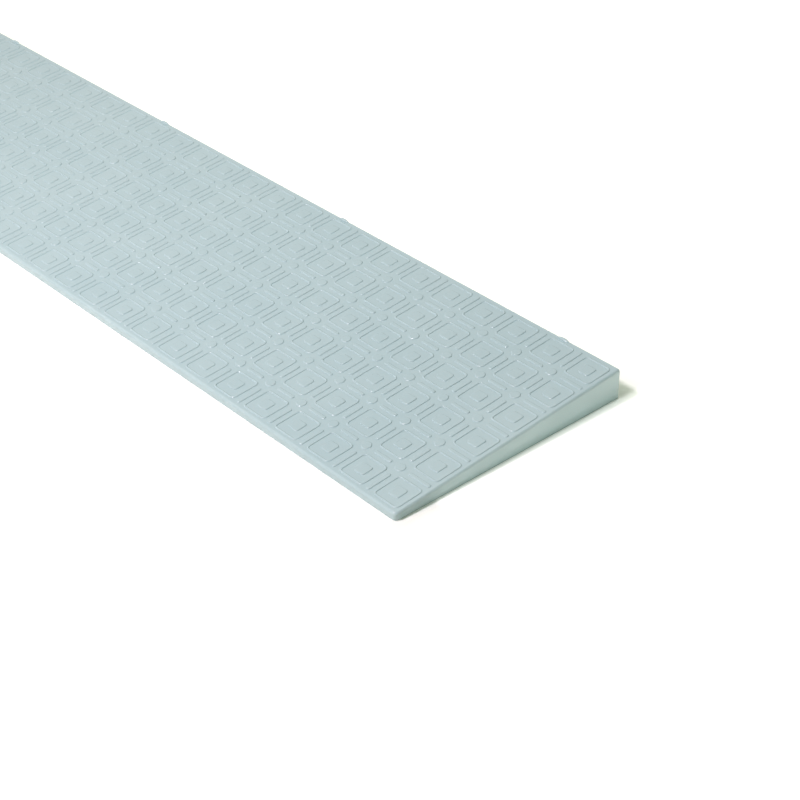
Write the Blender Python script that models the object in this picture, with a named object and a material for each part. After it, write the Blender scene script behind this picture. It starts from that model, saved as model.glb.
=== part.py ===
"""Threshold ramp: a moulded wedge with a raised tread, held down by strips of tape.

Metres, +Z up. The ramp's length runs along X and its rise along Y, from the nose at -Y to
the high back at +Y. The origin is on the floor, under the middle of the ramp.
"""
import math

import bmesh
import bpy
from mathutils import Matrix, Vector

# Wedge: the end walls lean out a little towards the top, where the length is measured
LENGTH = 0.800
DEPTH = 0.135
NOSE_HEIGHT = 0.0040
BACK_HEIGHT = 0.0160
END_DRAFT = math.tan(math.radians(2.0))
EDGE_RADIUS = 0.0015
BACK_EDGE_RADIUS = 0.0005
CORNER_RADIUS = 0.0022
ROUND_STEPS = 3

# Tread: squares in rows and columns, each a raised line around a raised pad.
# The land is the least flat margin between the squares and the rounded edges, and the
# root is how far the squares reach down into the wedge.
PITCH = 0.0229
SQUARE_SIZE = 0.0160
LINE_WIDTH = 0.0013
PAD_SIZE = 0.0066
TREAD_HEIGHT = 0.00045
TREAD_LAND = 0.0005
TREAD_ROOT = 0.0006

# Beads at the top of the slope, each the part of a dome that stands in front of the back
# wall. The setback is from the wall to the dome's axis.
BEAD_LENGTH = 0.0068
BEAD_RADIUS = 0.0010
BEAD_SETBACK = 0.0008
BEAD_WALL_GAP = 0.00005
BEAD_SPACING = 0.1600
BEAD_END_DISTANCE = 0.0355
BEAD_STEPS = 12

# Tape strips and their peel-off liners, in channels in the sole
TAPE_WIDTH = 0.0200
TAPE_THICKNESS = 0.0008
LINER_OVERHANG = 0.0005
LINER_THICKNESS = 0.00015
LINER_TAB = 0.0120
LINER_RECESS = 0.0001
CHANNEL_END_LAND = 0.0080
NOSE_TO_TAPE = 0.0260
BACK_TO_TAPE = 0.0200
FIT_GAP = 0.0003

# Worked out from the sizes above
SLOPE = math.atan2(BACK_HEIGHT - NOSE_HEIGHT, DEPTH)
SLOPE_RUN = DEPTH / math.cos(SLOPE)
CHANNEL_WIDTH = TAPE_WIDTH + 2 * (LINER_OVERHANG + FIT_GAP)
CHANNEL_DEPTH = LINER_RECESS + LINER_THICKNESS + FIT_GAP + TAPE_THICKNESS + FIT_GAP
CHANNEL_LENGTH = LENGTH - 2 * CHANNEL_END_LAND
FRONT_TAPE_Y = -DEPTH / 2 + NOSE_TO_TAPE
BACK_TAPE_Y = DEPTH / 2 - BACK_TO_TAPE
TAPE_ROWS = {
    "front": FRONT_TAPE_Y,
    "middle": (FRONT_TAPE_Y + BACK_TAPE_Y) / 2,
    "back": BACK_TAPE_Y,
}

# Edges that turn by more than this are drawn sharp
SHARP_ANGLE = math.radians(40)

# Linear colours, roughness
BODY_FINISH = ((0.49, 0.60, 0.64), 0.45)
TAPE_FINISH = ((0.72, 0.72, 0.69), 0.85)
LINER_FINISH = ((0.80, 0.72, 0.48), 0.60)


def clear_scene():
    """Remove whatever the file holds."""
    for item in list(bpy.data.objects):
        bpy.data.objects.remove(item, do_unlink=True)


def collection(name):
    """A new collection in the scene."""
    made = bpy.data.collections.new(name)
    bpy.context.scene.collection.children.link(made)
    return made


def material(name, finish):
    """A plain Principled material for one sub-part."""
    colour, roughness = finish
    made = bpy.data.materials.new(name)
    made.use_nodes = True
    shader = made.node_tree.nodes["Principled BSDF"]
    shader.inputs["Base Color"].default_value = (*colour, 1.0)
    shader.inputs["Roughness"].default_value = roughness
    shader.inputs["Metallic"].default_value = 0.0
    return made


def add_object(name, bm, group, look=None):
    """Turn a bmesh into an object in the given collection."""
    mesh = bpy.data.meshes.new(name)
    bm.normal_update()
    bm.to_mesh(mesh)
    bm.free()
    mesh.shade_smooth()
    mesh.set_sharp_from_angle(angle=SHARP_ANGLE)
    made = bpy.data.objects.new(name, mesh)
    group.objects.link(made)
    if look:
        mesh.materials.append(look)
    return made


def box_mesh(size, centre=(0.0, 0.0, 0.0)):
    """A box of the given size as a bmesh."""
    bm = bmesh.new()
    place = Matrix.Translation(centre) @ Matrix.Diagonal((*size, 1.0))
    bmesh.ops.create_cube(bm, size=1.0, matrix=place)
    return bm


def evenly_spaced(count, spacing):
    """Positions of a row of copies, centred on zero."""
    return [(i - (count - 1) / 2) * spacing for i in range(count)]


def squares_that_fit(run):
    """How many tread squares fit along a run, clear of the rounded edges at both ends."""
    room = run - SQUARE_SIZE - 2 * (EDGE_RADIUS + TREAD_LAND)
    return max(1, math.floor(room / PITCH) + 1)


def slope_frame():
    """Local frame on the slope: X along the ramp, Y up the slope, Z out of the surface."""
    middle = Vector((0.0, 0.0, (NOSE_HEIGHT + BACK_HEIGHT) / 2))
    return Matrix.Translation(middle) @ Matrix.Rotation(SLOPE, 4, "X")


def round_edges(bm, edges, radius):
    """Round the given edges."""
    bmesh.ops.bevel(bm, geom=edges, offset=radius, segments=ROUND_STEPS, profile=0.5,
                    affect="EDGES", clamp_overlap=True)


def is_upright_at_nose(edge):
    """True for the two upright edges at the nose."""
    a, b = (v.co for v in edge.verts)
    upright = abs(a.z - b.z) > 0.9 * edge.calc_length()
    return upright and a.y < 0


def is_at_back(edge):
    """True for an edge that lies in the back wall's plane."""
    return all(abs(vert.co.y - DEPTH / 2) < 1e-6 for vert in edge.verts)


def is_on_rim(edge):
    """True for the edges where the slope meets the nose and the end walls."""
    tops = [face for face in edge.link_faces if face.normal.z > 0.9]
    walls = [face for face in edge.link_faces if abs(face.normal.z) < 0.1]
    return len(tops) == 1 and len(walls) == 1 and not is_at_back(edge)


def is_back_top(edge):
    """True for the edges along the top of the back wall, with its rounded ends."""
    return is_at_back(edge) and any(face.normal.z > 0.1 for face in edge.link_faces)


def make_wedge(group, look):
    """The plain wedge: a box whose front is lowered to the nose, with drafted ends and
    rounded edges."""
    bm = box_mesh((LENGTH, DEPTH, BACK_HEIGHT), (0.0, 0.0, BACK_HEIGHT / 2))
    widest = BACK_HEIGHT - EDGE_RADIUS
    for vert in bm.verts:
        if vert.co.y < 0 and vert.co.z > 0:
            vert.co.z = NOSE_HEIGHT
        vert.co.x -= math.copysign(END_DRAFT, vert.co.x) * (widest - vert.co.z)
    bm.normal_update()
    round_edges(bm, [e for e in bm.edges if is_upright_at_nose(e)], CORNER_RADIUS)
    bm.normal_update()
    round_edges(bm, [e for e in bm.edges if is_on_rim(e)], EDGE_RADIUS)
    bm.normal_update()
    round_edges(bm, [e for e in bm.edges if is_back_top(e)], BACK_EDGE_RADIUS)
    return add_object("ramp_body", bm, group, look)


def add_tread_square(bm, x, y):
    """One tread square: a tray whose rim is the raised line, with the pad in its middle.

    The tray's floor lies below the slope, so only the line and the pad stand out of it.
    """
    rise = TREAD_HEIGHT + TREAD_ROOT
    height = rise + TREAD_ROOT
    place = Matrix.Translation((x, y, TREAD_HEIGHT - height / 2))
    size = Matrix.Diagonal((SQUARE_SIZE, SQUARE_SIZE, height, 1.0))
    verts = bmesh.ops.create_cube(bm, size=1.0, matrix=place @ size)["verts"]
    faces = {face for vert in verts for face in vert.link_faces}
    top = max(faces, key=lambda face: face.calc_center_median().z)
    top.normal_update()
    bmesh.ops.inset_individual(bm, faces=[top], thickness=LINE_WIDTH)
    floor = lift_face(bm, top, -rise)
    inner = (SQUARE_SIZE - PAD_SIZE) / 2 - LINE_WIDTH
    bmesh.ops.inset_individual(bm, faces=[floor], thickness=inner)
    lift_face(bm, floor, rise)


def lift_face(bm, face, height):
    """Extrude one face straight up, or down where the height is negative."""
    lifted = bmesh.ops.extrude_discrete_faces(bm, faces=[face])["faces"][0]
    bmesh.ops.translate(bm, verts=lifted.verts, vec=(0.0, 0.0, height))
    lifted.normal_update()
    return lifted


def make_tread(group):
    """All the tread squares, on the slope."""
    bm = bmesh.new()
    for x in evenly_spaced(squares_that_fit(LENGTH), PITCH):
        for y in evenly_spaced(squares_that_fit(SLOPE_RUN), PITCH):
            add_tread_square(bm, x, y)
    made = add_object("tread_squares", bm, group)
    made.matrix_world = slope_frame()
    return made


def make_beads(group):
    """Beads at the top of the slope at a steady spacing: long domes, cut flat just in front
    of the back wall."""
    bm = bmesh.new()
    first = LENGTH / 2 - BEAD_END_DISTANCE
    count = math.floor((LENGTH - BEAD_END_DISTANCE - BEAD_LENGTH) / BEAD_SPACING) + 1
    y = (DEPTH / 2 - BEAD_SETBACK) / math.cos(SLOPE)
    half = Matrix.Diagonal((BEAD_LENGTH / 2, BEAD_RADIUS, BEAD_RADIUS, 1.0))
    turn = Matrix.Rotation(math.pi / 2, 4, "Y")
    for i in range(count):
        place = slope_frame() @ Matrix.Translation((first - i * BEAD_SPACING, y, 0.0))
        bmesh.ops.create_uvsphere(bm, u_segments=BEAD_STEPS, v_segments=BEAD_STEPS // 2,
                                  radius=1.0, matrix=place @ half @ turn)
    bmesh.ops.bisect_plane(bm, geom=bm.verts[:] + bm.edges[:] + bm.faces[:],
                           plane_co=(0.0, DEPTH / 2 - BEAD_WALL_GAP, 0.0),
                           plane_no=(0.0, 1.0, 0.0), clear_outer=True)
    rims = [edge for edge in bm.edges if edge.is_boundary]
    bmesh.ops.edgeloop_fill(bm, edges=rims)
    return add_object("back_beads", bm, group)


def make_channels(group):
    """Cutters for the tape channels, which run through the sole."""
    made = []
    for row, y in TAPE_ROWS.items():
        size = (CHANNEL_LENGTH, CHANNEL_WIDTH, 2 * CHANNEL_DEPTH)
        cutter = add_object(f"channel_{row}", box_mesh(size), group)
        cutter.location = (0.0, y, 0.0)
        made.append(cutter)
    return made


def combine(body, other, operation):
    """Join or cut the body with a guide object, which stays out of renders."""
    step = body.modifiers.new(f"{operation.lower()} {other.name}", "BOOLEAN")
    step.operation = operation
    step.solver = "EXACT"
    step.object = other
    other.hide_render = True
    other.display_type = "WIRE"


def make_body(parts, cutters, base):
    """The one-piece moulding."""
    body = make_wedge(parts, material("moulded_plastic", BODY_FINISH))
    body.parent = base
    combine(body, make_tread(cutters), "UNION")
    combine(body, make_beads(cutters), "UNION")
    for channel in make_channels(cutters):
        combine(body, channel, "DIFFERENCE")


def make_tapes(parts, base):
    """A strip of foam tape and its peel-off liner in each channel."""
    tape_look = material("foam_tape", TAPE_FINISH)
    liner_look = material("release_paper", LINER_FINISH)
    liner_length = CHANNEL_LENGTH - 2 * FIT_GAP
    tape_length = liner_length - LINER_TAB
    liner_z = LINER_RECESS + LINER_THICKNESS / 2
    tape_z = LINER_RECESS + LINER_THICKNESS + FIT_GAP + TAPE_THICKNESS / 2
    for row, y in TAPE_ROWS.items():
        tape_size = (tape_length, TAPE_WIDTH, TAPE_THICKNESS)
        tape = add_object(f"tape_{row}", box_mesh(tape_size), parts, tape_look)
        tape.location = (-LINER_TAB / 2, y, tape_z)
        tape.parent = base
        liner_size = (liner_length, TAPE_WIDTH + 2 * LINER_OVERHANG, LINER_THICKNESS)
        liner = add_object(f"liner_{row}", box_mesh(liner_size), parts, liner_look)
        liner.location = (0.0, y, liner_z)
        liner.parent = base


def main():
    clear_scene()
    parts = collection("threshold_ramp")
    cutters = collection("cutters")
    base = bpy.data.objects.new("ramp_origin", None)
    parts.objects.link(base)
    make_body(parts, cutters, base)
    make_tapes(parts, base)


main()
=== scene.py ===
"""Looks of the threshold ramp: the moulded body with its whole tread, the foam tape and the
peel-off liners in its sole, their finishes, the studio and the camera.

Metres, +Z up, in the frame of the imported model: the ramp's length runs along X and its rise
along Y, from the nose at -Y to the high back at +Y.
"""
import math

import bmesh
import bpy
from mathutils import Matrix, Vector
from mathutils.geometry import delaunay_2d_cdt


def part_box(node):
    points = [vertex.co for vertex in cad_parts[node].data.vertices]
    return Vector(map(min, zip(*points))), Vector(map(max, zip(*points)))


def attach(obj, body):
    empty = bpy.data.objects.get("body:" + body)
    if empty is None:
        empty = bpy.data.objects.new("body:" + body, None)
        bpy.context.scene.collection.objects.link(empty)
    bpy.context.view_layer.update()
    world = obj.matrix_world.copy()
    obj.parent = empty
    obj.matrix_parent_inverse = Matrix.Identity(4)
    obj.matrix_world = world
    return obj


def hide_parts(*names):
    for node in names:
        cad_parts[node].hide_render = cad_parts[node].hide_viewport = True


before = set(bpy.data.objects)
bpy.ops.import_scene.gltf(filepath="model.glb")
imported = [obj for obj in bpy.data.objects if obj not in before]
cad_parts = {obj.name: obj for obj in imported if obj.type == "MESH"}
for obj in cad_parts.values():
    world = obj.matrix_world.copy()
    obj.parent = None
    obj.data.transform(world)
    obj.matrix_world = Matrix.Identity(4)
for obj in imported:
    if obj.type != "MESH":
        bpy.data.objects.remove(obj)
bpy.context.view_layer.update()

# Wedge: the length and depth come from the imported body, the rest are its own sizes
BODY_LOW, BODY_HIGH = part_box("ramp_body")
LENGTH = BODY_HIGH.x - BODY_LOW.x
DEPTH = BODY_HIGH.y - BODY_LOW.y
NOSE_HEIGHT = 0.0040
BACK_HEIGHT = 0.0160
END_DRAFT = math.tan(math.radians(2.0))
EDGE_RADIUS = 0.0012
BACK_EDGE_RADIUS = 0.0005
SOLE_EDGE_RADIUS = 0.0003
CORNER_RADIUS = 0.0022
EDGE_STEPS = 8
SMALL_EDGE_STEPS = 4
SLOPE = math.atan2(BACK_HEIGHT - NOSE_HEIGHT, DEPTH)
SLOPE_RUN = DEPTH / math.cos(SLOPE)

# Tread: squares in rows and columns, bars between them and dots where the bars would cross
PITCH = 0.0229
TREAD_HEIGHT = 0.00038
TREAD_LAND = 0.0005
SQUARE_SIZE = 0.0160
SQUARE_CORNER = 0.0023
LINE_WIDTH = 0.00105
PAD_SIZE = 0.0066
PAD_CORNER = 0.0013
BAR_LENGTH = 0.0114
BAR_WIDTH = 0.0021
DOT_SIZE = 0.0052
CORNER_STEPS = 5
DOT_STEPS = 6
FLANK_STEPS = 5

# Beads on the back edge, each the part of a dome that stands in front of the back wall
BEAD_LENGTH = 0.0068
BEAD_RADIUS = 0.0010
BEAD_SETBACK = 0.0008
BEAD_WALL_GAP = 0.00005
BEAD_SPACING = 0.1600
BEAD_END_DISTANCE = 0.0355
BEAD_STEPS = 32

# Channels in the sole, with a tape strip and its liner in each
ROWS = ("front", "middle", "back")
CHANNEL_CLEARANCE = 0.0003
CHANNEL_DEPTH = 0.00165
CHANNEL_CORNER = 0.0010
CHANNEL_DRAFT = 0.00005
MOUTH_RADIUS = 0.00015
MOUTH_STEPS = 3

# A narrow flat margin that keeps the shading of a flat face flat beside a round edge
MARGIN = 0.00005
# Points closer than this are one point
WELD = 1e-7
# Edges that turn by more than this are drawn sharp
SHARP_ANGLE = math.radians(45)
# An edge counts as upright when it rises by at least this share of its length
UPRIGHT_SHARE = 0.9
# A face counts as a wall when the upward part of its normal is less than this, either way
WALL_TILT = 0.5


def box_mesh(low, high):
    """A box between two corners as a bmesh."""
    bm = bmesh.new()
    size = high - low
    place = Matrix.Translation((low + high) / 2) @ Matrix.Diagonal((*size, 1.0))
    bmesh.ops.create_cube(bm, size=1.0, matrix=place)
    return bm


def add_piece(name, bm, look):
    """Turn a bmesh into a piece of the ramp with the given material."""
    mesh = bpy.data.meshes.new(name)
    bm.normal_update()
    bm.to_mesh(mesh)
    bm.free()
    mesh.shade_smooth()
    mesh.set_sharp_from_angle(angle=SHARP_ANGLE)
    mesh.materials.append(look)
    made = bpy.data.objects.new(name, mesh)
    bpy.context.scene.collection.objects.link(made)
    return made


def evenly_spaced(count, spacing):
    """Positions of a row of copies, centred on zero."""
    return [(i - (count - 1) / 2) * spacing for i in range(count)]


def squares_that_fit(run):
    """How many tread squares fit along a run, clear of the rounded edges at both ends."""
    room = run - SQUARE_SIZE - 2 * (EDGE_RADIUS + TREAD_LAND)
    return max(1, math.floor(room / PITCH) + 1)


def slope_frame():
    """Local frame on the slope: X along the ramp, Y up the slope, Z out of the surface."""
    middle = Vector((0.0, 0.0, (NOSE_HEIGHT + BACK_HEIGHT) / 2))
    return Matrix.Translation(middle) @ Matrix.Rotation(SLOPE, 4, "X")


def sole_frame():
    """Local frame on the sole: X along the ramp, Z down, out of the surface."""
    return Matrix.Rotation(math.pi, 4, "X")


def is_upright(edge):
    """True for an edge that is upright or nearly so."""
    a, b = (vert.co for vert in edge.verts)
    return abs(a.z - b.z) > UPRIGHT_SHARE * edge.calc_length()


def count_walls(edge):
    """How many of the faces at an edge are walls."""
    return sum(abs(face.normal.z) < WALL_TILT for face in edge.link_faces)


def lies_in(edge, axis, level):
    """True for an edge whose two ends are both at the given level along an axis."""
    return all(abs(vert.co[axis] - level) < WELD for vert in edge.verts)


def is_on_rim(edge):
    """True for the edges where the slope meets the nose and the end walls."""
    at_slope = any(face.normal.z > WALL_TILT for face in edge.link_faces)
    return at_slope and count_walls(edge) == 1 and not lies_in(edge, 1, BODY_HIGH.y)


def is_round_the_back(edge):
    """True for the edges round the back wall, apart from the one on the floor."""
    return lies_in(edge, 1, BODY_HIGH.y) and not lies_in(edge, 2, 0.0)


def is_round_the_sole(edge):
    """True for the edges where the walls meet the sole."""
    return lies_in(edge, 2, 0.0) and count_walls(edge) == 1


def round_edges(bm, chosen, radius, steps):
    """Round the edges that a test picks out."""
    bm.normal_update()
    edges = [edge for edge in bm.edges if chosen(edge)]
    bmesh.ops.bevel(bm, geom=edges, offset=radius, segments=steps, profile=0.5,
                    affect="EDGES", clamp_overlap=True)
    bm.normal_update()


def make_wedge():
    """The plain wedge as a bmesh: a box whose front is lowered, with drafted ends and
    rounded edges."""
    bm = box_mesh(Vector((BODY_LOW.x, BODY_LOW.y, 0.0)),
                  Vector((BODY_HIGH.x, BODY_HIGH.y, BACK_HEIGHT)))
    widest = BACK_HEIGHT - EDGE_RADIUS
    for vert in bm.verts:
        if vert.co.y < 0 and vert.co.z > 0:
            vert.co.z = NOSE_HEIGHT
        vert.co.x -= math.copysign(END_DRAFT, vert.co.x) * (widest - vert.co.z)
    round_edges(bm, lambda edge: is_upright(edge) and edge.verts[0].co.y < 0,
                CORNER_RADIUS, EDGE_STEPS)
    round_edges(bm, is_on_rim, EDGE_RADIUS, EDGE_STEPS)
    round_edges(bm, is_round_the_back, BACK_EDGE_RADIUS, SMALL_EDGE_STEPS)
    round_edges(bm, is_round_the_sole, SOLE_EDGE_RADIUS, SMALL_EDGE_STEPS)
    return bm


def rounded_rectangle(half_x, half_y, radius, steps):
    """Points round a rectangle with round corners, anticlockwise, each of them once."""
    points = []
    sides = ((1, -1), (1, 1), (-1, 1), (-1, -1))
    for corner, (side_x, side_y) in enumerate(sides):
        straight_before = (half_x, half_y)[corner % 2] - radius
        first = 0 if straight_before > WELD else 1
        for step in range(first, steps + 1):
            angle = math.radians(90 * (corner - 1 + step / steps))
            points.append((side_x * (half_x - radius) + radius * math.cos(angle),
                           side_y * (half_y - radius) + radius * math.sin(angle)))
    return points


def flank():
    """Inset and height of each loop up the side of a raised form: a slice of a round bar
    as wide as the raised line, from its foot to just below its crest."""
    half = LINE_WIDTH / 2
    radius = (half ** 2 + TREAD_HEIGHT ** 2) / (2 * TREAD_HEIGHT)
    steepest = math.asin(half / radius)
    loops = []
    for step in range(FLANK_STEPS):
        angle = steepest * (1 - step / FLANK_STEPS)
        loops.append((half - radius * math.sin(angle),
                      TREAD_HEIGHT - radius * (1 - math.cos(angle))))
    return loops


def shrink(size_x, size_y, corner, loops):
    """Loops of a form: half sizes, corner radius and height, each drawn in by its inset."""
    return [(size_x / 2 - inset, size_y / 2 - inset, corner - inset, height)
            for inset, height in loops]


def flat_topped(size_x, size_y, corner):
    """Loops of a raised form with a flat top."""
    crest = [(LINE_WIDTH / 2, TREAD_HEIGHT), (LINE_WIDTH / 2 + MARGIN, TREAD_HEIGHT)]
    return shrink(size_x, size_y, corner, flank() + crest)


def square_loops():
    """Loops of a tread square: over the raised line, across the floor inside it and up on
    to the pad."""
    outer = flank()
    inner = [(LINE_WIDTH - inset, height) for inset, height in reversed(outer)]
    line = shrink(SQUARE_SIZE, SQUARE_SIZE, SQUARE_CORNER, outer + inner)
    return line + flat_topped(PAD_SIZE, PAD_SIZE, PAD_CORNER)


def channel_loops(length, width):
    """Loops of a channel in the sole, from its rounded mouth to its ceiling."""
    wall = [(0.0, 0.0)]
    for step in range(1, MOUTH_STEPS + 1):
        angle = math.radians(90 * step / MOUTH_STEPS)
        wall.append((MOUTH_RADIUS * math.sin(angle), MOUTH_RADIUS * (math.cos(angle) - 1)))
    bottom = MOUTH_RADIUS + CHANNEL_DRAFT
    wall += [(bottom, -CHANNEL_DEPTH), (bottom + MARGIN, -CHANNEL_DEPTH)]
    grown = 2 * MOUTH_RADIUS
    return shrink(length + grown, width + grown, CHANNEL_CORNER, wall)


def bar_reach(index, count):
    """How far a bar reaches each way from its square's centre line: at the outermost
    squares it runs out to their outer edge."""
    low = SQUARE_SIZE / 2 if index == 0 else BAR_LENGTH / 2
    high = SQUARE_SIZE / 2 if index == count - 1 else BAR_LENGTH / 2
    return low, high


def tread_forms():
    """Centre, loops and corner steps of every raised form on the slope."""
    columns = evenly_spaced(squares_that_fit(LENGTH), PITCH)
    rows = evenly_spaced(squares_that_fit(SLOPE_RUN), PITCH)
    square = square_loops()
    dot = flat_topped(DOT_SIZE, DOT_SIZE, DOT_SIZE / 2)
    forms = [((x, y), square, CORNER_STEPS) for x in columns for y in rows]
    forms += [((x + PITCH / 2, y + PITCH / 2), dot, DOT_STEPS)
              for x in columns[:-1] for y in rows[:-1]]
    for j, y in enumerate(rows):
        low, high = bar_reach(j, len(rows))
        bar = flat_topped(BAR_WIDTH, low + high, BAR_WIDTH / 2)
        forms += [((x + PITCH / 2, y + (high - low) / 2), bar, CORNER_STEPS)
                  for x in columns[:-1]]
    for i, x in enumerate(columns):
        low, high = bar_reach(i, len(columns))
        bar = flat_topped(low + high, BAR_WIDTH, BAR_WIDTH / 2)
        forms += [((x + (high - low) / 2, y + PITCH / 2), bar, CORNER_STEPS)
                  for y in rows[:-1]]
    return forms


def make_beads():
    """The beads as a bmesh: long domes on the slope, cut flat just in front of the wall."""
    bm = bmesh.new()
    first = LENGTH / 2 - BEAD_END_DISTANCE
    count = math.floor((LENGTH - BEAD_END_DISTANCE - BEAD_LENGTH) / BEAD_SPACING) + 1
    y = (DEPTH / 2 - BEAD_SETBACK) / math.cos(SLOPE)
    half = Matrix.Diagonal((BEAD_LENGTH / 2, BEAD_RADIUS, BEAD_RADIUS, 1.0))
    turn = Matrix.Rotation(math.pi / 2, 4, "Y")
    for i in range(count):
        place = slope_frame() @ Matrix.Translation((first - i * BEAD_SPACING, y, 0.0))
        bmesh.ops.create_uvsphere(bm, u_segments=BEAD_STEPS, v_segments=BEAD_STEPS // 2,
                                  radius=1.0, matrix=place @ half @ turn)
    wall = BODY_HIGH.y - BEAD_WALL_GAP
    bmesh.ops.bisect_plane(bm, geom=bm.verts[:] + bm.edges[:] + bm.faces[:],
                           plane_co=(0.0, wall, 0.0), plane_no=(0.0, 1.0, 0.0),
                           clear_outer=True)
    rims = [edge for edge in bm.edges if edge.is_boundary]
    bmesh.ops.edgeloop_fill(bm, edges=rims)
    return bm


def unite(first, second):
    """The union of two closed bmeshes as one bmesh."""
    pieces = []
    for bm in (first, second):
        mesh = bpy.data.meshes.new("guide")
        bm.to_mesh(mesh)
        bm.free()
        pieces.append(bpy.data.objects.new("guide", mesh))
        bpy.context.scene.collection.objects.link(pieces[-1])
    step = pieces[0].modifiers.new("union", "BOOLEAN")
    step.operation = "UNION"
    step.solver = "EXACT"
    step.object = pieces[1]
    view = bpy.context.evaluated_depsgraph_get()
    joined = bmesh.new()
    joined.from_object(pieces[0], view)
    for piece in pieces:
        mesh = piece.data
        bpy.data.objects.remove(piece)
        bpy.data.meshes.remove(mesh)
    return joined


def channel_forms():
    """Centre, loops and corner steps of the channels in the sole, round the liners."""
    forms = []
    for row in ROWS:
        low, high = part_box(f"liner_{row}")
        length, width, _ = high - low
        loops = channel_loops(length + 2 * CHANNEL_CLEARANCE, width + 2 * CHANNEL_CLEARANCE)
        forms.append((((low.x + high.x) / 2, -(low.y + high.y) / 2), loops, CORNER_STEPS))
    return forms


def add_form(bm, place, form):
    """Loft one form through its loops, close its top, and return the points of its foot."""
    centre, loops, steps = form
    rings = []
    for half_x, half_y, radius, height in loops:
        outline = rounded_rectangle(half_x, half_y, radius, steps)
        rings.append([bm.verts.new(place @ Vector((centre[0] + x, centre[1] + y, height)))
                      for x, y in outline])
    for lower, upper in zip(rings, rings[1:]):
        for i in range(len(lower)):
            bm.faces.new((lower[i - 1], lower[i], upper[i], upper[i - 1]))
    bm.faces.new(rings[-1])
    return rings[0]


def fill_land(bm, place, outline, holes):
    """Triangulate the flat land between an outline and the feet of the forms in it."""
    loops = [outline, *holes]
    verts = [vert for loop in loops for vert in loop]
    flatten = place.inverted()
    flat = [(flatten @ vert.co).to_2d() for vert in verts]
    indices = iter(range(len(verts)))
    polygons = [[next(indices) for _ in loop] for loop in loops]
    result = delaunay_2d_cdt(flat, [], polygons, 1, WELD, True)
    triangles, sources, inside = result[2], result[3], result[5]
    for triangle, polygons_here in zip(triangles, inside):
        if list(polygons_here) == [0]:
            bm.faces.new([verts[sources[i][0]] for i in triangle])


def widest_face(bm, side):
    """The face of a bmesh with the greatest area seen from above, side 1, or below, -1."""
    bm.normal_update()
    return max(bm.faces, key=lambda face: side * face.normal.z * face.calc_area())


def dress_face(bm, side, place, forms):
    """Replace the flat top or sole of a bmesh by flat land with forms rising from it."""
    face = widest_face(bm, side)
    outline = [loop.vert for loop in face.loops]
    bmesh.ops.delete(bm, geom=[face], context="FACES_ONLY")
    holes = [add_form(bm, place, form) for form in forms]
    fill_land(bm, place, outline, holes)


def make_body(look):
    """The moulding: the wedge with its tread and beads above and its channels below."""
    bm = make_wedge()
    for side in (1, -1):
        bmesh.ops.inset_region(bm, faces=[widest_face(bm, side)], thickness=MARGIN,
                               use_even_offset=True)
    bm = unite(bm, make_beads())
    dress_face(bm, -1, sole_frame(), channel_forms())
    dress_face(bm, 1, slope_frame(), tread_forms())
    return add_piece("moulded_body", bm, look)


class Nodes:
    """Short hand for building a material's node tree."""

    def __init__(self, tree):
        self.tree = tree
        self.tree.nodes.clear()

    def add(self, kind, inputs=None, **settings):
        """A new node with its settings and the values or links of its inputs."""
        node = self.tree.nodes.new(kind)
        for name, value in settings.items():
            setattr(node, name, value)
        for name, value in (inputs or {}).items():
            socket = node.inputs[name]
            if isinstance(value, bpy.types.NodeSocket):
                self.tree.links.new(value, socket)
            else:
                socket.default_value = value
        return node

    def noise(self, place, scale, detail=2.0, roughness=0.5):
        """A noise texture's value."""
        made = self.add("ShaderNodeTexNoise", {"Vector": place, "Scale": scale,
                                               "Detail": detail, "Roughness": roughness})
        return made.outputs["Fac"]

    def ramp(self, value, low, high, start=0.0, end=1.0):
        """Map a value from start..end to low..high, held at both ends."""
        made = self.add("ShaderNodeMapRange", {"Value": value, "From Min": start,
                                               "From Max": end, "To Min": low,
                                               "To Max": high})
        return made.outputs["Result"]

    def blend(self, share, first, second):
        """Blend two colours."""
        made = self.add("ShaderNodeMix", {"Factor": share}, data_type="RGBA")
        for socket, colour in zip((made.inputs[6], made.inputs[7]), (first, second)):
            if isinstance(colour, bpy.types.NodeSocket):
                self.tree.links.new(colour, socket)
            else:
                socket.default_value = (*colour, 1.0)
        return made.outputs[2]

    def bump(self, height, strength, distance, normal=None):
        """A bump from a height in 0..1, worth the given distance."""
        made = self.add("ShaderNodeBump", {"Height": height, "Strength": strength,
                                           "Distance": distance})
        if normal:
            self.tree.links.new(normal, made.inputs["Normal"])
        return made.outputs["Normal"]

    def finish(self, shader):
        """Send a shader to the material's output."""
        self.add("ShaderNodeOutputMaterial", {"Surface": shader})


# Finishes: scales are repeats to the metre, and depths of relief are in metres
PLASTIC_TONES = ((0.416, 0.562, 0.603), (0.437, 0.580, 0.618))
PLASTIC_TONE_SCALE = 22.0
PLASTIC_SPECKLE = (0.50, 0.59, 0.60)
PLASTIC_SPECKLE_SHARE = 0.25
PLASTIC_SPECKLE_SCALE = 900.0
PLASTIC_ROUGHNESS = (0.19, 0.25)
PLASTIC_ROUGHNESS_SCALE = 60.0
PLASTIC_GRAIN_SCALE = 2600.0
PLASTIC_GRAIN_DEPTH = 0.00004
PLASTIC_WAVE_SCALE = 45.0
PLASTIC_WAVE_DEPTH = 0.0004
PLASTIC_IOR = 1.5
PLASTIC_SPECULAR = 0.75
FOAM_TONES = ((0.60, 0.60, 0.57), (0.76, 0.76, 0.73))
FOAM_CELL_SCALE = 2800.0
FOAM_CELL_DEPTH = 0.0001
FOAM_ROUGHNESS = 0.85
PAPER_TONES = ((0.70, 0.60, 0.36), (0.82, 0.74, 0.50))
PAPER_FIBRE_SCALE = 1800.0
PAPER_FIBRE_STRETCH = (0.25, 1.0, 1.0)
PAPER_FIBRE_DEPTH = 0.00003
PAPER_CLOUD = (0.86, 0.80, 0.60)
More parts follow.
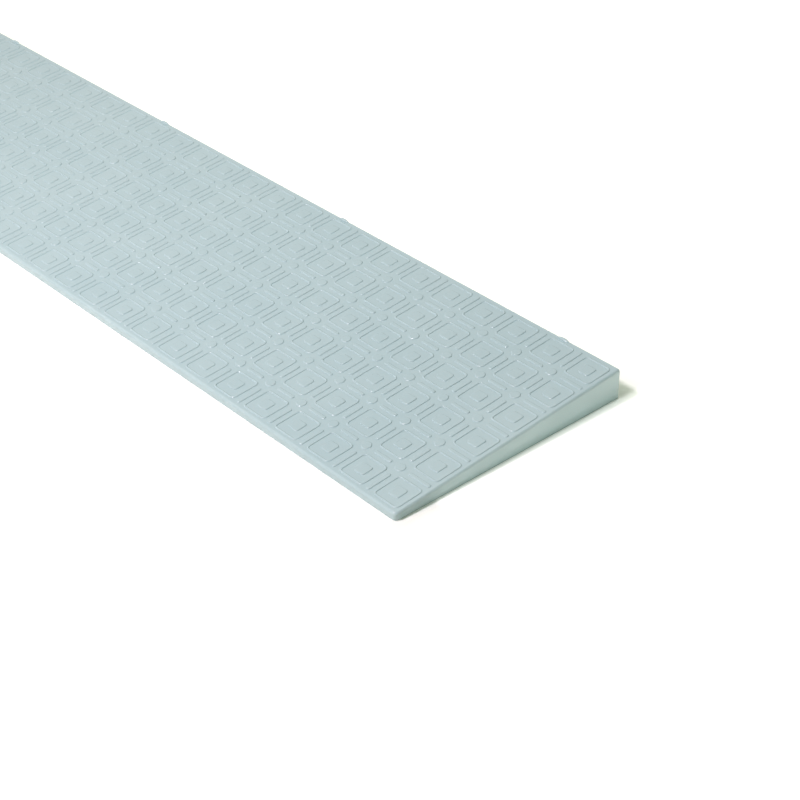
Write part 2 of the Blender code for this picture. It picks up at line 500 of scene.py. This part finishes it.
PAPER_CLOUD_SHARE = 0.35
PAPER_CLOUD_SCALE = 90.0
PAPER_ROUGHNESS = 0.55
PAPER_WAX = 0.35
PAPER_WAX_ROUGHNESS = 0.25


def new_material(name):
    """A material with an empty node tree, its nodes and the object's coordinates."""
    made = bpy.data.materials.new(name)
    made.use_nodes = True
    nodes = Nodes(made.node_tree)
    place = nodes.add("ShaderNodeTexCoord").outputs["Object"]
    return made, nodes, place


def moulded_plastic():
    """Satin pale blue-grey plastic with a fine grain and a slightly uneven tone."""
    made, nodes, place = new_material("moulded_plastic")
    tone = nodes.noise(place, PLASTIC_TONE_SCALE, 3.0)
    colour = nodes.blend(nodes.ramp(tone, 0.0, 1.0, 0.35, 0.65), *PLASTIC_TONES)
    speckle = nodes.noise(place, PLASTIC_SPECKLE_SCALE, 2.0)
    colour = nodes.blend(nodes.ramp(speckle, 0.0, PLASTIC_SPECKLE_SHARE, 0.4, 0.7), colour,
                         PLASTIC_SPECKLE)
    uneven = nodes.noise(place, PLASTIC_ROUGHNESS_SCALE, 4.0)
    rough = nodes.ramp(uneven, *PLASTIC_ROUGHNESS, 0.3, 0.7)
    grain = nodes.noise(place, PLASTIC_GRAIN_SCALE, 2.0)
    normal = nodes.bump(grain, 0.25, PLASTIC_GRAIN_DEPTH)
    wave = nodes.noise(place, PLASTIC_WAVE_SCALE, 1.0)
    normal = nodes.bump(wave, 0.15, PLASTIC_WAVE_DEPTH, normal)
    shader = nodes.add("ShaderNodeBsdfPrincipled",
                       {"Base Color": colour, "Roughness": rough, "Normal": normal,
                        "IOR": PLASTIC_IOR, "Specular IOR Level": PLASTIC_SPECULAR})
    nodes.finish(shader.outputs["BSDF"])
    return made


def foam_tape():
    """Matt closed-cell foam."""
    made, nodes, place = new_material("foam_tape")
    cells = nodes.add("ShaderNodeTexVoronoi", {"Vector": place, "Scale": FOAM_CELL_SCALE})
    wall = nodes.ramp(cells.outputs["Distance"], 0.0, 1.0, 0.0, 0.8)
    colour = nodes.blend(wall, *FOAM_TONES)
    normal = nodes.bump(wall, 0.6, FOAM_CELL_DEPTH)
    shader = nodes.add("ShaderNodeBsdfPrincipled",
                       {"Base Color": colour, "Roughness": FOAM_ROUGHNESS, "Normal": normal})
    nodes.finish(shader.outputs["BSDF"])
    return made


def release_paper():
    """Thin waxed paper with fibres and a cloudy tone."""
    made, nodes, place = new_material("release_paper")
    along = nodes.add("ShaderNodeMapping", {"Vector": place, "Scale": PAPER_FIBRE_STRETCH})
    fibres = nodes.noise(along.outputs["Vector"], PAPER_FIBRE_SCALE, 4.0, 0.7)
    clouds = nodes.noise(place, PAPER_CLOUD_SCALE, 3.0)
    colour = nodes.blend(nodes.ramp(fibres, 0.0, 1.0, 0.3, 0.7), *PAPER_TONES)
    colour = nodes.blend(nodes.ramp(clouds, 0.0, PAPER_CLOUD_SHARE, 0.35, 0.65), colour,
                         PAPER_CLOUD)
    normal = nodes.bump(fibres, 0.3, PAPER_FIBRE_DEPTH)
    shader = nodes.add("ShaderNodeBsdfPrincipled",
                       {"Base Color": colour, "Roughness": PAPER_ROUGHNESS, "Normal": normal,
                        "Coat Weight": PAPER_WAX, "Coat Roughness": PAPER_WAX_ROUGHNESS})
    nodes.finish(shader.outputs["BSDF"])
    return made


WHITE = (1.0, 1.0, 1.0)

# Floor, just under the sole: a glow is added to it only where it is seen, and fades from the
# low strength beside the ramp to the high one away from it.
# Beside the ramp the glow is painted light: weak and yellow-green, it lightens the shadows
# there and tints them yellow-green
FLOOR_SIZE = 12.0
FLOOR_LEVEL = -0.00005
FLOOR_LIGHT_COLOUR = (1.0, 1.0, 0.92)
# Painted shadow tint and strength: the colour and level of the glow beside the ramp, where it
# lightens and tints the shadows
FLOOR_PAINTED_GLOW_COLOUR = (0.90, 1.0, 0.75)
FLOOR_PAINTED_GLOW_BESIDE = 0.09
FLOOR_LIFT_AWAY = 1.0
FLOOR_LIFT_START = 0.003
FLOOR_LIFT_END = 0.060

# Sky: the backdrop's top and fade are heights on a sphere of radius 1
SKY_COLOUR = (0.80, 1.0, 0.80)
SKY_STRENGTH = 0.22
BACKDROP_TOP = math.sin(math.radians(44))
BACKDROP_FADE = 0.10
OVERHEAD = 0.75

# Round lamps, all turned to one target
LAMP_TARGET = (0.24, 0.0, 0.01)
SOFT_LAMPS = {
    "key": {"source": (-0.08, -0.511, 0.855), "colour": (1.0, 0.90, 0.96),
            "level": 0.60, "distance": 1.0, "size": 0.19},
    "front": {"source": (-0.12, -0.93, 0.342), "colour": (1.0, 0.80, 0.82),
              "level": 0.07, "distance": 1.0, "size": 0.4},
    "left": {"source": (-0.653, -0.271, 0.707), "colour": (1.0, 0.88, 0.80),
             "level": 0.08, "distance": 0.6, "size": 0.4},
    "back": {"source": (-0.12, 0.36, 0.925), "colour": (1.0, 0.92, 0.75),
             "level": 0.13, "distance": 0.7, "size": 0.5},
}

# Flat lamp close over the floor beyond the right end
GLOW_PLACE = (0.5303, 0.085, 0.03)
GLOW_SIZE = (0.26, 0.26)
GLOW_COLOUR = (1.0, 1.0, 0.97)
GLOW_LEVEL = 0.42
GLOW_SPREAD = math.radians(10)


def seen_directly(nodes):
    """1 for rays from the camera, and for mirrored and refracted ones."""
    path = nodes.add("ShaderNodeLightPath")
    shown = path.outputs["Is Camera Ray"]
    for name in ("Is Glossy Ray", "Is Transmission Ray"):
        either = nodes.add("ShaderNodeMath", {0: shown, 1: path.outputs[name]},
                           operation="MAXIMUM")
        shown = either.outputs["Value"]
    return shown


def away_from_ramp(nodes):
    """0 on the floor beside the ramp and 1 well away from it."""
    place = nodes.add("ShaderNodeNewGeometry").outputs["Position"]
    size = nodes.add("ShaderNodeVectorMath", {0: place}, operation="ABSOLUTE")
    past = nodes.add("ShaderNodeVectorMath", {0: size.outputs["Vector"],
                                              1: (LENGTH / 2, DEPTH / 2, 1.0)},
                     operation="SUBTRACT")
    outside = nodes.add("ShaderNodeVectorMath", {0: past.outputs["Vector"],
                                                 1: (0.0, 0.0, 0.0)}, operation="MAXIMUM")
    distance = nodes.add("ShaderNodeVectorMath", {0: outside.outputs["Vector"]},
                         operation="LENGTH")
    return nodes.ramp(distance.outputs["Value"], 0.0, 1.0, FLOOR_LIFT_START, FLOOR_LIFT_END)


def make_floor():
    """A white floor with a glow added where it is seen, white away from the ramp; beside the
    ramp the glow is painted light that lightens the shadows and tints them yellow-green.
    """
    made = bpy.data.materials.new("studio_floor")
    made.use_nodes = True
    nodes = Nodes(made.node_tree)
    lit = nodes.add("ShaderNodeBsdfDiffuse", {"Color": (*FLOOR_LIGHT_COLOUR, 1.0)})
    white = nodes.add("ShaderNodeBsdfDiffuse", {"Color": (*WHITE, 1.0)})
    away = away_from_ramp(nodes)
    # Painted light: beside the ramp this glow is weak and yellow-green, lightening and
    # tinting the shadows there; away from it, it is plain white
    floor_glow_tint = nodes.blend(away, FLOOR_PAINTED_GLOW_COLOUR, WHITE)
    strength = nodes.ramp(away, FLOOR_PAINTED_GLOW_BESIDE, FLOOR_LIFT_AWAY)
    floor_glow = nodes.add("ShaderNodeEmission", {"Color": floor_glow_tint, "Strength": strength})
    shown = nodes.add("ShaderNodeAddShader", {0: white.outputs["BSDF"],
                                              1: floor_glow.outputs["Emission"]})
    mixed = nodes.add("ShaderNodeMixShader", {0: seen_directly(nodes),
                                              1: lit.outputs["BSDF"],
                                              2: shown.outputs["Shader"]})
    nodes.finish(mixed.outputs["Shader"])
    bpy.ops.mesh.primitive_plane_add(size=FLOOR_SIZE, location=(0.0, 0.0, FLOOR_LEVEL))
    floor = bpy.context.object
    floor.name = "studio_floor"
    floor.data.materials.append(made)


def make_sky():
    """Even soft light from all round, seen as a white backdrop that ends part of the way up
    in reflections."""
    world = bpy.data.worlds.new("studio_sky")
    world.use_nodes = True
    bpy.context.scene.world = world
    nodes = Nodes(world.node_tree)
    light = nodes.add("ShaderNodeBackground", {"Color": (*SKY_COLOUR, 1.0),
                                               "Strength": SKY_STRENGTH})
    way = nodes.add("ShaderNodeTexCoord").outputs["Generated"]
    rise = nodes.add("ShaderNodeSeparateXYZ", {"Vector": way}).outputs["Z"]
    backdrop = nodes.ramp(rise, 1.0, OVERHEAD, BACKDROP_TOP - BACKDROP_FADE,
                          BACKDROP_TOP + BACKDROP_FADE)
    camera = nodes.add("ShaderNodeLightPath").outputs["Is Camera Ray"]
    level = nodes.add("ShaderNodeMath", {0: backdrop, 1: camera}, operation="MAXIMUM")
    white = nodes.add("ShaderNodeBackground", {"Color": (*WHITE, 1.0),
                                               "Strength": level.outputs["Value"]})
    mixed = nodes.add("ShaderNodeMixShader", {0: seen_directly(nodes),
                                              1: light.outputs["Background"],
                                              2: white.outputs["Background"]})
    nodes.add("ShaderNodeOutputWorld", {"Surface": mixed.outputs["Shader"]})


def add_lamp(name, lamp, source):
    """Put a lamp into the scene, turned so that its light comes from the given side."""
    made = bpy.data.objects.new(name, lamp)
    made.rotation_euler = source.to_track_quat("Z", "Y").to_euler()
    bpy.context.scene.collection.objects.link(made)
    return made


def make_soft_lamp(name, source, colour, level, distance, size):
    """A round lamp; the level is what it gives a white floor at the lamps' target."""
    source = Vector(source).normalized()
    lamp = bpy.data.lights.new(name, "AREA")
    lamp.shape = "DISK"
    lamp.size = size
    lamp.energy = level * (math.pi * distance) ** 2 / source.z
    lamp.color = colour
    made = add_lamp(name, lamp, source)
    made.location = Vector(LAMP_TARGET) + source * distance


def make_glow():
    """A flat lamp that lights the floor beyond the right end, which lights the end in turn;
    the level is what it gives a white floor."""
    lamp = bpy.data.lights.new("glow", "AREA")
    lamp.shape = "RECTANGLE"
    lamp.size, lamp.size_y = GLOW_SIZE
    lamp.energy = GLOW_LEVEL * math.pi * lamp.size * lamp.size_y
    lamp.color = GLOW_COLOUR
    lamp.spread = GLOW_SPREAD
    made = add_lamp("glow", lamp, Vector((0.0, 0.0, 1.0)))
    made.location = GLOW_PLACE


# Camera, with its lens and sensor in millimetres
CAMERA_PLACE = (0.90169, -0.47982, 0.50050)
CAMERA_TARGET = (0.33144, -0.00587, 0.0)
CAMERA_ROLL = math.radians(-2.219)
SENSOR_WIDTH = 36.0
LENS = 87.526
NEAREST = 0.01


def make_camera():
    """A long lens from above the near end, at the photograph's viewing angle."""
    data = bpy.data.cameras.new("camera")
    data.sensor_fit = "HORIZONTAL"
    data.sensor_width = SENSOR_WIDTH
    data.lens = LENS
    data.clip_start = NEAREST
    made = bpy.data.objects.new("camera", data)
    sight = Vector(CAMERA_TARGET) - Vector(CAMERA_PLACE)
    level = sight.to_track_quat("-Z", "Y").to_matrix().to_4x4()
    turn = Matrix.Rotation(CAMERA_ROLL, 4, "Z")
    made.matrix_world = Matrix.Translation(CAMERA_PLACE) @ level @ turn
    bpy.context.scene.collection.objects.link(made)
    bpy.context.scene.camera = made


def main():
    """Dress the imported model, and set up the studio and the camera."""
    body = make_body(moulded_plastic())
    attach(body, "root")
    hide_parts("ramp_body")
    tape_look = foam_tape()
    liner_look = release_paper()
    for row in ROWS:
        for kind, look in (("tape", tape_look), ("liner", liner_look)):
            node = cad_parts[f"{kind}_{row}"]
            node.data.materials.clear()
            node.data.materials.append(look)
    make_floor()
    make_sky()
    for name, settings in SOFT_LAMPS.items():
        make_soft_lamp(name, **settings)
    make_glow()
    make_camera()
    bpy.context.scene.view_settings.view_transform = "Standard"


main()
